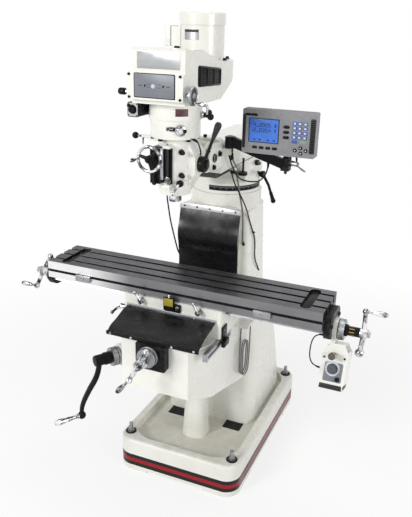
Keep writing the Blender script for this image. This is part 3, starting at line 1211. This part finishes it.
def dressRam(setup):
    cap = [(0, 0), (0.0168, 0), (0.0174, 0.001), (0.0174, 0.0052), (0.0155, 0.0068), (0, 0.0074)]
    caps, bolts = [], []
    x = setup["cheekX"]
    for side in (-1, 1):
        way = (side, 0, 0)
        caps.append((turned(cap, (side * (x + 0.0004), *setup["pinPlace"]), way, 32), blackPaint))
        for y, z, width in setup["cheekBolts"]:
            washer = [(0, 0), (width * 0.62, 0), (width * 0.62, 0.0016), (0, 0.002)]
            bolts.append((turned(washer, (side * x, y, z), way, 24), darkIron))
            bolts.append((hexHead((side * (x + 0.0016), y, z), way, width, 0.0085), blackPaint))
    makePiece("pinCaps", caps, "adapter")
    makePiece("cheekBolts", bolts, "ram")

    hook = smoothPath([(0.1438, -0.248, 1.548), (0.1448, -0.248, 1.512), (0.143, -0.246, 1.5005),
                       (0.137, -0.242, 1.4975), (0.1335, -0.24, 1.506)], 4)
    parts = [(limb(hook, [0.0026] * len(hook), 12), blackPaint),
             (capScrew((0.142, -0.248, 1.536), toRight, 0.0055, 0.0042), blackPaint)]
    makePiece("cableHook", parts, "ram")
    knob = [(0, -0.004), (0.0062, -0.004), (0.0062, 0.003), (0.008, 0.0036), (0.0084, 0.009),
            (0.0066, 0.0118), (0, 0.0126)]
    parts = [(turned(knob, (0.02, -0.243, 1.5797), toTop, 20), blackPaint)]
    makePiece("ramOiler", parts, "ram")

    axis = setup["turretAxis"]
    low, high = setup["bandZ"]
    start, top = setup["bandStart"], high - 0.002
    parts = [(bentStrip(axis, 0.1557, low, high, start, setup["bandSweep"], 0.0011, 60), blackPlastic)]
    for k in range(1, setup["bandMarks"] + 1):
        reach = 0.0075 if k % 5 else 0.013
        mark = bentStrip(axis, 0.1566, top - reach, top, start + 2 * k - 0.18, 0.36, 0.0005, 1)
        parts.append((mark, silverPlate))
    makePiece("turretScale", parts, "turret")
    parts = [(slab((0.096, -0.1435, 1.4152), (0.13, -0.1235, 1.4248), 0.003), blackPaint),
             (capScrew((0.1, -0.1335, 1.4248), toTop, 0.0042, 0.003), darkIron)]
    makePiece("cableClip", parts, "turret")
    grip = [(0, 0), (0.0074, 0), (0.0082, 0.002), (0.0085, 0.02), (0.0095, 0.036), (0.0104, 0.043),
            (0.0085, 0.047), (0, 0.048)]
    parts = [(turned(grip, (0.1844, 0.181, 1.2664), (0.117, 0.498, -0.859), 24), blackPlastic)]
    makePiece("ramGrip", parts, "ram_lever")
    cordTie("turretTie", (0.173, -0.0165, 1.1225), (0.017, 0.635, -0.772), 0.003, "base")
    parts = [(limb([(-0.094, -0.2445, 1.4375), (0.094, -0.2445, 1.4375)], [0.003] * 2, 10), blackPaint)]
    for low, high in ((-0.1055, -0.1049), (0.1049, 0.1055)):
        parts.append((slab((low, -0.2612, 1.4394), (high, 0.3292, 1.4412)), blackPaint))
    makePiece("ramWiper", parts, "ram")


dressRam(ramTrim)

# Apron strip, cover bars, knee scale and its reader, travel stop
kneeTrim = {"scaleY": (-0.655, -0.4), "scaleZ": (0.781, 0.813), "barHalf": 0.205}


def dressKnee(setup):
    way = (0, -0.973, 0.231)
    strip = [(plate((0, -0.1236, 1.2375), way, toRight, 0.296, 0.023, 0.003, 0.002), silverPlate)]
    for i in range(5):
        strip.append((capScrew((-0.124 + 0.062 * i, -0.1264, 1.2382), way, 0.0042, 0.0032), darkIron))
    makePiece("apronStrip", strip, "base")
    half = setup["barHalf"]
    bar = [(slab((-half, -0.6985, 0.8315), (half, -0.6905, 0.8475), 0.0015), blackPaint)]
    for x in (-0.185, -0.09, 0.09, 0.185):
        bar.append((turned([(0, -0.001), (0.0056, -0.001), (0.0056, 0.0018), (0.004, 0.0036), (0, 0.0042)],
                           (x, -0.6985, 0.8395), toFront, 18), chrome))
    makePiece("coverFrontBar", bar, "knee")
    strip = [(slab((-half, -0.5272, 0.8885), (half, -0.5208, 0.9), 0.001), silverPlate)]
    for x in (-0.19, -0.11, 0.11, 0.19):
        strip.append((capScrew((x, -0.5272, 0.8945), toFront, 0.0036, 0.0028), chrome))
    makePiece("coverRearStrip", strip, "saddle")
    y0, y1 = setup["scaleY"]
    z0, z1 = setup["scaleZ"]
    scale = [(slab((0.2046, y0 + 0.001, z0), (0.2244, y1 - 0.001, z1), 0.002), silverPlate),
             (slab((0.2243, y0 + 0.012, z0 + 0.011), (0.2249, y1 - 0.012, z1 - 0.011)), darkIron)]
    for y in (y0, y1 - 0.004):
        scale.append((slab((0.2042, y, z0 - 0.0012), (0.2249, y + 0.004, z1 + 0.0008), 0.001), satinAlloy))
    makePiece("kneeScale", scale, "knee")
    reader = [(slab((0.2252, -0.512, 0.812), (0.2312, -0.462, 0.868), 0.0015), blackPaint),
              (slab((0.2312, -0.528, 0.787), (0.2472, -0.474, 0.8155), 0.003), blackPlastic)]
    for y in (-0.502, -0.472):
        reader.append((capScrew((0.2312, y, 0.856), toRight, 0.004, 0.003), chrome))
    makePiece("scaleReader", reader, "saddle")
    stop = [(slab((-0.029, -0.5295, 0.903), (0.047, -0.5203, 0.9375), 0.002), blackPaint),
            (slab((-0.0265, -0.5385, 0.9105), (0.0215, -0.5262, 0.9655), 0.003), blackPlastic),
            (plate((-0.0025, -0.5384, 0.946), toFront, toRight, 0.041, 0.033, 0.0009, 0.001), oliveYellow)]
    pin = [(0, 0), (0.004, 0), (0.004, 0.009), (0.003, 0.011), (0, 0.0112)]
    stop.append((turned(pin, (-0.0025, -0.5325, 0.965), toTop, 16), chrome))
    roller = [(0, 0), (0.0075, 0), (0.0082, 0.001), (0.0082, 0.007), (0.0075, 0.008), (0, 0.008)]
    stop.append((turned(roller, (0.0355, -0.5295, 0.925), toFront, 24), chrome))
    makePiece("travelStop", stop, "saddle")


dressKnee(kneeTrim)

# Knee crank: shaft, bevel pinion, hub, curved arm and handle
kneeCrank = {"height": 0.67, "foot": (0.566, 0.06, 0.386),
             "armPoints": [(0.5, 0, 0.67), (0.51, -0.014, 0.64), (0.524, -0.012, 0.596),
                           (0.542, 0.02, 0.528), (0.556, 0.05, 0.462), (0.564, 0.06, 0.42),
                           (0.566, 0.06, 0.386)]}


# A place by its reach along the crank's shaft and across it
def byCrank(along, side, z):
    ahead, across = Vector((-0.545, -0.8384, 0)), Vector((-0.8384, 0.545, 0))
    return Vector((0, -0.234, z)) + ahead * along + across * side


def dressKneeCrank(setup):
    z = setup["height"]
    way = byCrank(1, 0, 0) - byCrank(0, 0, 0)
    shaft = [(0, 0.028), (0.0136, 0.028), (0.0216, 0.0438), (0.0142, 0.044), (0.014, 0.046), (0.014, 0.4),
             (0, 0.4)]
    parts = [(turned(shaft, byCrank(0, 0, z), way, 32), brightSteel)]
    hub = [(0, 0.4), (0.0135, 0.4), (0.0135, 0.4498), (0.0262, 0.45), (0.0272, 0.4515), (0.0272, 0.4765),
           (0.0242, 0.478), (0.0242, 0.516), (0.0215, 0.521), (0.012, 0.5225), (0, 0.523)]
    parts.append((turned(hub, byCrank(0, 0, z), way, 40), blackPaint))
    path = smoothPath([byCrank(*p) for p in setup["armPoints"]], 7)
    radii = [0.0155 - 0.0035 * i / (len(path) - 1) for i in range(len(path))]
    parts.append((limb(path, radii, 20, 0.72, way), blackPaint))
    foot = byCrank(*setup["foot"])
    parts.append((ball(foot, 0.018), blackPaint))
    parts.append((turned([(0, 0.012), (0.0105, 0.012), (0.0105, 0.019), (0, 0.019)], foot, way, 20),
                  brightSteel))
    rows = [(0, 0.018), (0.0092, 0.018), (0.0096, 0.022), (0.0092, 0.027), (0.0082, 0.03), (0.0088, 0.045),
            (0.0108, 0.066), (0.0129, 0.088), (0.0138, 0.102), (0.0136, 0.112), (0.0118, 0.1205),
            (0.0075, 0.1245), (0, 0.1255)]
    parts.append((turned(rows, foot, way, 32), chrome))
    makePiece("kneeCrank", parts, "knee_crank", ["knee_crank"])
    marks = slabsAround(40, byCrank(0, 0, z), way, (-0.0004, 0.0399, 0.434), (0.0004, 0.0404, 0.4445),
                        fifth=0.428)
    dial = [(mark, blackPaint) for mark in marks]
    rim = [(0.0398, 0.4205), (0.0408, 0.4205), (0.0408, 0.4235), (0.0398, 0.4235), (0.0398, 0.4205)]
    dial.append((turned(rim, byCrank(0, 0, z), way, 48), darkIron))
    makePiece("kneeDialMarks", dial, "knee_crank")


dressKneeCrank(kneeCrank)


# Ball cranks with graduated dials
def gradedDial(place, way, radius, thick, marks=40):
    rows = [(0, 0), (radius - 0.003, 0), (radius - 0.0008, 0.001), (radius, 0.003), (radius, thick * 0.4),
            (radius - 0.0015, thick * 0.44), (radius - 0.0015, thick - 0.002), (radius - 0.0035, thick),
            (0.02, thick), (0.019, thick - 0.002), (0, thick - 0.002)]
    parts = [(turned(rows, place, way, 64), satinAlloy)]
    low, high = (-0.00045, radius - 0.0022, thick * 0.66), (0.00045, radius - 0.0011, thick - 0.0022)
    ticks = slabsAround(marks, place, way, low, high, fifth=thick * 0.5)
    return parts + [(tick, blackPaint) for tick in ticks]


# The arm through the hub, a ball at each end and a handle on one of them
def ballArm(points, radii, balls, grip, way, length):
    parts = [(limb(points, radii, 20), chrome)]
    for place, radius in zip((points[0], points[-1]), balls):
        parts.append((ball(place, radius), chrome))
    parts.append((machineHandle(grip, way, length, crankSetup["gripRadius"]), chrome))
    return parts


crankSetup = {
    "gripRadius": 0.0112, "cross": (0, -0.712, 0.788), "leftEnd": -0.6397, "rightEnd": 0.6569,
    "tableAxis": (-0.395, 0.91), "bronzeStrips": 9,
    "crossHub": [(0, 0.03), (0.0235, 0.03), (0.024, 0.034), (0.024, 0.07), (0.0225, 0.074), (0.019, 0.075),
                 (0.019, 0.098), (0.017, 0.103), (0, 0.1035)],
    "leftHub": [(0, 0.036), (0.0235, 0.036), (0.024, 0.039), (0.024, 0.066), (0.0225, 0.068),
                (0.019, 0.0685), (0.019, 0.093), (0.0165, 0.097), (0, 0.0975)],
    "rightHub": [(0, 0.02), (0.0188, 0.02), (0.0192, 0.026), (0.0192, 0.08), (0.018, 0.082), (0, 0.082)],
    "rightRim": [(0.0188, 0.024), (0.0235, 0.024), (0.024, 0.0255), (0.024, 0.034), (0.0188, 0.036),
                 (0.0188, 0.024)],
    "rightBoss": [(0, 0), (0.0195, 0), (0.0202, 0.002), (0.0202, 0.027), (0.0175, 0.0295), (0, 0.03)]}


def dressCranks(setup):
    x, y, z = place = setup["cross"]
    parts = gradedDial(place, toFront, 0.042, 0.033)
    parts.append((turned(setup["crossHub"], place, toFront, 40), chrome))
    arm = [(x + 0.03, -0.792, z + 0.058), (x, -0.8, z), (x - 0.037, -0.812, z - 0.069)]
    parts += ballArm(arm, [0.0098, 0.0108, 0.0088], (0.015, 0.0135), (x - 0.037, -0.82, z - 0.069), toFront,
                     0.085)
    makePiece("crossCrank", parts, "cross_screw", ["cross_crank"])

    y, z = setup["tableAxis"]
    e = setup["leftEnd"]
    place = (e - 0.008, y, z)
    parts = gradedDial(place, toLeft, 0.043, 0.038)
    parts.append((turned(setup["leftHub"], place, toLeft, 40), chrome))
    arm = [(e - 0.044, y, z + 0.076), (e - 0.089, y, z), (e - 0.133, y, z - 0.088)]
    parts += ballArm(arm, [0.0088, 0.0102, 0.0088], (0.014, 0.014), (e - 0.141, y, z - 0.088), toLeft,
                     0.081)
    e = setup["rightEnd"]
    place = (e + 0.019, y, z)
    parts += gradedDial(place, toRight, 0.043, 0.024)
    for rows in (setup["rightHub"], setup["rightRim"]):
        parts.append((turned(rows, place, toRight, 36), blackPaint))
    strips = slabsAround(setup["bronzeStrips"], place, toRight, (0.0188, -0.0018, 0.041),
                         (0.0199, 0.0018, 0.061), 0.0002, 1)
    parts += [(strip, bronze) for strip in strips]
    parts.append((turned(setup["rightBoss"], (e + 0.101, y, z), toRight, 36), chrome))
    arm = [(e + 0.113, y, z + 0.094), (e + 0.115, y, z), (e + 0.107, y, z - 0.086)]
    parts += ballArm(arm, [0.0082, 0.0105, 0.0098], (0.0122, 0.019), (e + 0.12, y, z + 0.094), toRight,
                     0.078)
    makePiece("tableCranks", parts, "table_screw", ["table_cranks"])


dressCranks(crankSetup)

# Table trim: groove strip, stop blocks, trough floors, bracket screws
tableTrim = {"stops": (-0.4275, 0.3935), "troughs": (-0.5357, 0.5529)}


def dressTable(setup):
    parts = [(slab((-0.6115, -0.5048, 0.969), (0.6285, -0.5002, 0.979), 0.0008), blackPaint)]
    makePiece("grooveStrip", parts, "table")
    parts = []
    for x in setup["stops"]:
        parts.append((slab((x - 0.0365, -0.5225, 0.951), (x + 0.0365, -0.5095, 0.978), 0.002), satinAlloy))
        parts.append((capScrew((x, -0.5225, 0.9695), toFront, 0.0065, 0.005), brightSteel))
        parts.append((slab((x - 0.03, -0.5105, 0.9695), (x + 0.03, -0.501, 0.9785), 0.0005), darkIron))
    makePiece("travelBlocks", parts, "table")
    parts = []
    for x in setup["troughs"]:
        parts.append((plate((x, -0.395, 1.0059), toTop, toRear, 0.196, 0.04, 0.001, 0.018), blackPaint))
    makePiece("troughFloors", parts, "table")
    parts = []
    for end, side in ((crankSetup["leftEnd"], -1), (crankSetup["rightEnd"], 1)):
        for y in (-0.461, -0.329):
            parts.append((capScrew((end, y, 0.944), (side, 0, 0), 0.0078, 0.006), darkIron))
    makePiece("bracketScrews", parts, "table")


dressTable(tableTrim)

# Power feed face, tilted with its body
feedTrim = {"panel": (0.6865, 0.1645), "panelSize": (0.071, 0.076), "knob": (0.6829, 0.152),
            "lever": (0.6799, 0.099), "tilt": 20, "ticks": 11, "tickStart": 210, "tickStep": 24}


def onFeed(x, down, front):
    tilt = math.radians(feedTrim["tilt"])
    s, c = math.sin(tilt), math.cos(tilt)
    return Vector((x, -0.395 - down * s - front * c, 0.91 - down * c + front * s))


def dressFeed(setup):
    ahead = onFeed(0, 0, 1) - onFeed(0, 0, 0)
    across = toRight
    x, down = setup["panel"]
    parts = [(plate(onFeed(x, down, 0.0498), ahead, across, *setup["panelSize"], 0.0016, 0.005), panelGrey)]
    kx, kd = setup["knob"]
    skirt = [(0, 0), (0.0285, 0), (0.0285, 0.0008), (0.0278, 0.0012), (0, 0.0012)]
    parts.append((turned(skirt, onFeed(kx, kd, 0.0508), ahead, 36), keyWhite))
    for k in range(setup["ticks"]):
        a = math.radians(setup["tickStart"] - setup["tickStep"] * k)
        tick = slab((0.0252, -0.0005, 0.0012), (0.0276, 0.0005, 0.0016))
        moveShape(tick, alongFrame(onFeed(kx, kd, 0.0508), ahead, across) @ Matrix.Rotation(a, 4, "Z"))
        parts.append((tick, blackPlastic))
    slant = onFeed(0.845, -0.535, 0) - onFeed(0, 0, 0)
    parts.append((plate(onFeed(0.7244, 0.069, 0.004), slant, ahead, 0.074, 0.027, 0.001, 0.002),
                  silverPlate))
    parts.append((capScrew(onFeed(0.723, 0.106, 0.0498), ahead, 0.0042, 0.0026), darkIron))
    parts.append((capScrew(onFeed(0.6445, 0.112, 0.0498), ahead, 0.0042, 0.0026), darkIron))
    makePiece("feedPanel", parts, "table")
    shell = slab((-0.0476, -0.0126, -0.0477), (0.0476, 0.0126, 0.0477), 0.007, 4)
    moveShape(shell, alongFrame(onFeed(0.6839, 0.2222, 0), ahead, across))
    makePiece("feedCap", [(shell, darkGreyPlastic)], "table")
    collar = [(0, 0), (0.0085, 0), (0.0128, 0.004), (0.0134, 0.0075), (0.0118, 0.0115), (0, 0.0115)]
    tab = turned(collar, onFeed(*setup["lever"], 0.0715), ahead, 28)
    makePiece("feedTab", [(tab, yellowPlastic)], "feed_lever")


dressFeed(feedTrim)

# Display face: screen with plain digits, keys, grips
displayFace = {"front": -0.31, "screen": (0.236, 0.352, 1.596, 1.683), "rows": [" 4.2005 x", "12.0354 y"],
               "digitStart": (0.0095, 0.0215), "digitPitch": (0.0119, 0.0205),
               "digitSize": (0.0076, 0.0132), "footMarks": (0.258, 0.2795, 0.3135, 0.338),
               "sideKeys": (1.661, 1.6412, 1.6215), "padX": (0.4165, 0.4365, 0.458),
               "padZ": (1.677, 1.6595, 1.642, 1.625), "softKeys": (0.26, 0.287, 0.314, 0.341),
               "arrowKeys": ((0.444, 1.5865), (0.4227, 1.5756), (0.465, 1.5774), (0.4455, 1.5663)),
               "grips": ((0.4875, 0.02), (0.2135, 0.012)), "gripRibs": 16, "gripFoot": 1.574,
               "gripPitch": 0.0078}
# Each mark's bars by letter, and its slanted strokes: lean, share of the diagonal, shift
barsOf = {"0": "abcdef", "1": "bc", "2": "abged", "3": "abgcd", "4": "fgbc", "5": "afgcd", ".": "p",
          "y": "s"}
strokesOf = {"x": ((1, 0.5, 0, 0), (-1, 0.5, 0, 0)), "y": ((1, 0.28, 0.25, 0.25), (-1, 0.28, -0.25, 0.25))}


def digitShapes(mark, x, z, y, wide, tall):
    bar = wide * 0.27
    flat, upright = (wide - bar, bar), (bar, tall / 2 - bar)
    places = {"a": (0, tall / 2, *flat), "g": (0, 0, *flat), "d": (0, -tall / 2, *flat),
              "f": (-wide / 2, tall / 4, *upright), "b": (wide / 2, tall / 4, *upright),
              "e": (-wide / 2, -tall / 4, *upright), "c": (wide / 2, -tall / 4, *upright),
              "p": (0, -tall / 2, 2 * bar, 2 * bar), "s": (0, -tall / 4, bar, tall / 2)}
    made = []
    for lean, share, u, v in strokesOf.get(mark, ()):
        reach = math.hypot(wide, tall) * share
        stroke = slab((-reach, -bar / 2, 0), (reach, bar / 2, 0.0004))
        moveShape(stroke, Matrix.Rotation(math.atan2(tall, wide) * lean, 4, "Z"))
        made.append(moveShape(stroke, alongFrame((x + wide * u, y, z + tall * v), toFront, toRight)))
    for key in barsOf.get(mark, ""):
        u, v, w, h = places[key]
        made.append(slab((x + u - w / 2, y - 0.0004, z + v - h / 2), (x + u + w / 2, y, z + v + h / 2)))
    return made


def dressDisplay(setup):
    y = setup["front"]

    def faced(x, z, wide, tall, thick, corner, ahead=-0.0004):
        return plate((x, y - ahead, z), toFront, toRight, wide, tall, thick, corner)

    x0, x1, z0, z1 = setup["screen"]
    cx, cz = (x0 + x1) / 2, (z0 + z1) / 2
    parts = [(faced(cx, cz, x1 - x0 + 0.007, z1 - z0 + 0.007, 0.0018, 0.003), darkGreyPlastic),
             (faced(cx, cz, x1 - x0, z1 - z0, 0.0012, 0.002, 0.0008), screenBlue)]
    startX, startZ = setup["digitStart"]
    pitchX, pitchZ = setup["digitPitch"]
    for r, text in enumerate(setup["rows"]):
        for i, mark in enumerate(text):
            x, z = x0 + startX + pitchX * i, z1 - startZ - pitchZ * r
            shapes = digitShapes(mark, x, z, y - 0.002, *setup["digitSize"])
            parts += [(shape, digitDark) for shape in shapes]
    for x in setup["footMarks"]:
        foot = slab((x - 0.004, y - 0.0024, z0 + 0.006), (x + 0.004, y - 0.002, z0 + 0.0105))
        parts.append((foot, digitDark))
    makePiece("displayScreen", parts, "display")

    keys = [(faced(0.2415, 1.698, 0.05, 0.009, 0.0012, 0.001), blackPlastic)]
    keys += [(faced(0.384, z, 0.024, 0.0115, 0.0034, 0.0056), blackPlastic) for z in setup["sideKeys"]]
    for z in setup["padZ"]:
        for x in setup["padX"]:
            keys.append((faced(x, z, 0.0165, 0.013, 0.0024, 0.002), keyBlue))
            keys.append((faced(x, z, 0.0088, 0.0068, 0.0012, 0.0015, 0.0018), keyWhite))
    keys.append((faced(0.4185, 1.6085, 0.02, 0.0125, 0.0028, 0.002), keyBlue))
    keys.append((faced(0.4525, 1.6085, 0.03, 0.0125, 0.0028, 0.002), keyGreen))
    keys += [(faced(x, 1.5737, 0.0185, 0.0105, 0.003, 0.002), blackPlastic) for x in setup["softKeys"]]
    button = [(0, -0.0004), (0.0072, -0.0004), (0.0072, 0.0022), (0.0062, 0.003), (0, 0.003)]
    dot = [(0, 0.0026), (0.0026, 0.0026), (0.0026, 0.0033), (0, 0.0034)]
    for x, z in setup["arrowKeys"]:
        keys.append((turned(button, (x, y, z), toFront, 24), blackPlastic))
        keys.append((turned(dot, (x, y, z), toFront, 16), keyWhite))
    makePiece("displayKeys", keys, "display")

    grips = []
    for x, wide in setup["grips"]:
        half = wide * 0.36
        grips.append((faced(x, 1.6325, wide, 0.131, 0.0016, 0.004), darkGreyPlastic))
        for k in range(setup["gripRibs"]):
            z = setup["gripFoot"] + setup["gripPitch"] * k
            rib = slab((x - half, y - 0.0026, z - 0.0014), (x + half, y - 0.0008, z + 0.0014), 0.0006, 1)
            grips.append((rib, blackPlastic))
    grips.append((slab((0.212, -0.296, 1.7194), (0.494, -0.291, 1.7206), 0.0003, 1), blackPlastic))
    makePiece("displayGrips", grips, "display")

    pin = [(0, 0), (0.0062, 0), (0.0062, 0.012), (0.0045, 0.015), (0, 0.0155)]
    parts = [(hexHead((0.3576, -0.1878, 1.5097), toFront, 0.012, 0.006), darkIron),
             (turned(pin, (0.351, -0.169, 1.462), toFloor, 18), darkIron)]
    makePiece("armBolt", parts, "display_arm")


dressDisplay(displayFace)

# Drain screens and foot washers
baseTrim = {"screens": (-0.15, 0.15), "screenY": -0.102, "screenSize": (0.09, 0.096), "screenBars": (9, 4),
            "feet": (0.26, 0.417)}


def dressBase(setup):
    wide, deep = setup["screenSize"]
    y = setup["screenY"]
    front, rear = y - deep / 2, y + deep / 2
    lengthways, crossways = setup["screenBars"]
    parts = []
    for x in setup["screens"]:
        left, right = x - wide / 2, x + wide / 2
        parts.append((plate((x, y, 0.1278), toTop, toRight, wide, deep, 0.0018, 0.004), blackPaint))
        for i in range(lengthways):
            u = left + wide * (i + 0.5) / lengthways
            bar = slab((u - 0.0016, front + 0.004, 0.1292), (u + 0.0016, rear - 0.004, 0.1314), 0.0006, 1)
            parts.append((bar, darkIron))
        for i in range(crossways):
            v = front + deep * (i + 0.5) / crossways
            bar = slab((left + 0.003, v - 0.0016, 0.1292), (right - 0.003, v + 0.0016, 0.132), 0.0006, 1)
            parts.append((bar, darkIron))
    makePiece("drainScreens", parts, "base")
    rows = [(0.0155, 0), (0.0252, 0), (0.0258, 0.001), (0.0258, 0.0036), (0.0248, 0.0047), (0.0155, 0.0049),
            (0.0155, 0)]
    fx, fy = setup["feet"]
    feet = [(x, y, 0.1668) for x in (-fx, fx) for y in (-fy, fy)]
    parts = [(turned(rows, place, toTop, 40), blackPaint) for place in feet]
    makePiece("footWashers", parts, "base")


dressBase(baseTrim)
print("details ready")

# Finishes of the CAD nodes that stay, by finish; the others are white
nodeFinish = [
    (basePaint, ["base_casting"]),
    (ramPaint, ["ram"]),
    (tableIron, ["table"]),
    (satinAlloy, ["levelling_screws", "knee_dial", "spindle_pulley"]),
    (brightSteel, ["table_screw", "cross_screw", "elevating_screw"]),
    (bronze, ["feed_nuts"]),
    (darkIron, ["motor_rotor"]),
    (chrome, ["depth_stop", "quill", "spindle", "table_lock_left", "table_lock_right", "saddle_lock"]),
    (blackPaint, ["end_brackets", "cross_feed_bracket", "display_arm", "ram_lever", "ram_lock_front",
                  "ram_lock_rear", "feed_trip"]),
    (blackPlastic, ["feed_button", "drum_switch", "switch_lever"]),
    (blackCord, ["drive_belt"]),
    (slateKnob, ["feed_lever", "feed_knob"]),
    (displayCase, ["display"]),
]
finishOf = {name: finish for finish, names in nodeFinish for name in names}
for name, node in nodes.items():
    node.data.materials.clear()
    node.data.materials.append(finishOf.get(name, whitePaint))
print("finishes set")
